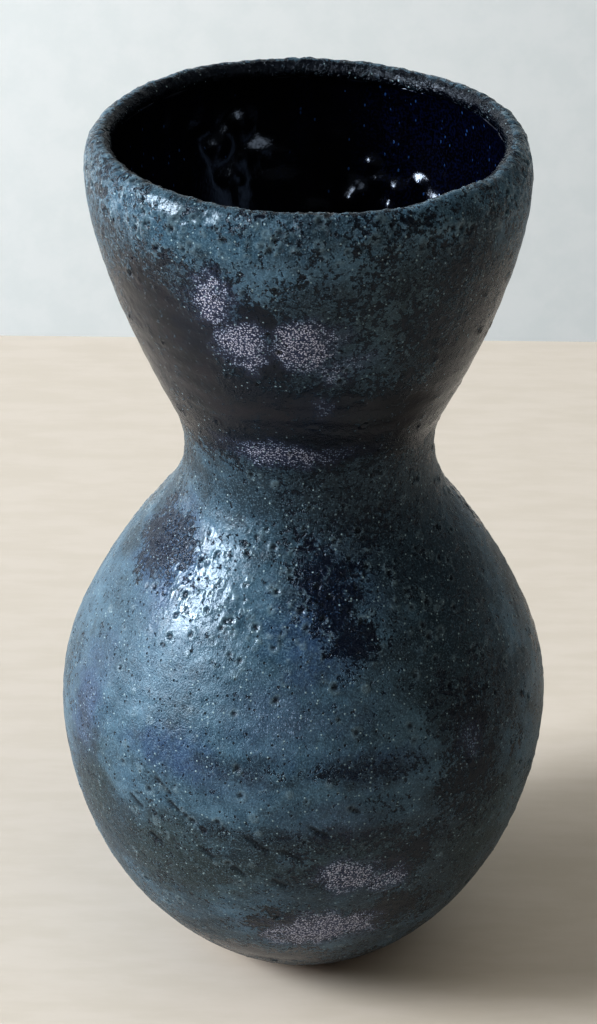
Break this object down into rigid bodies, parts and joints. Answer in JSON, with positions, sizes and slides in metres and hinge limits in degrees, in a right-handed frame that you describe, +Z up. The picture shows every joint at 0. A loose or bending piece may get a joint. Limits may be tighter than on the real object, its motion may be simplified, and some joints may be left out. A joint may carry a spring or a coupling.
{
  "type": "stoneware vase",
  "caption": "Free-standing glazed stoneware vase with a round belly, a narrow waist and a flaring cup mouth that holds water and cut stems.",
  "frame": {"origin": "centre of the foot ring on the surface that the vase stands on", "axes": "+Z up along the axis that the vase was thrown about, +X to the right and +Y away as the vase is seen from the front"},
  "size_m": [0.16, 0.16, 0.292],
  "materials": {
    "fired_clay": "unglazed gritty dark stoneware",
    "joining_slip": "fired joining slip, matt",
    "blue_glaze": "pitted slate blue over dark blue gloss",
    "dark_liner_glaze": "near black blue gloss"
  },
  "bodies": {
    "root": {"lower_body": "fired_clay", "upper_body": "fired_clay", "waist_slip": "joining_slip", "foot_ring": "fired_clay", "foot_slip": "joining_slip", "outer_glaze": "blue_glaze", "liner_glaze": "dark_liner_glaze"}
  },
  "joints": []
}
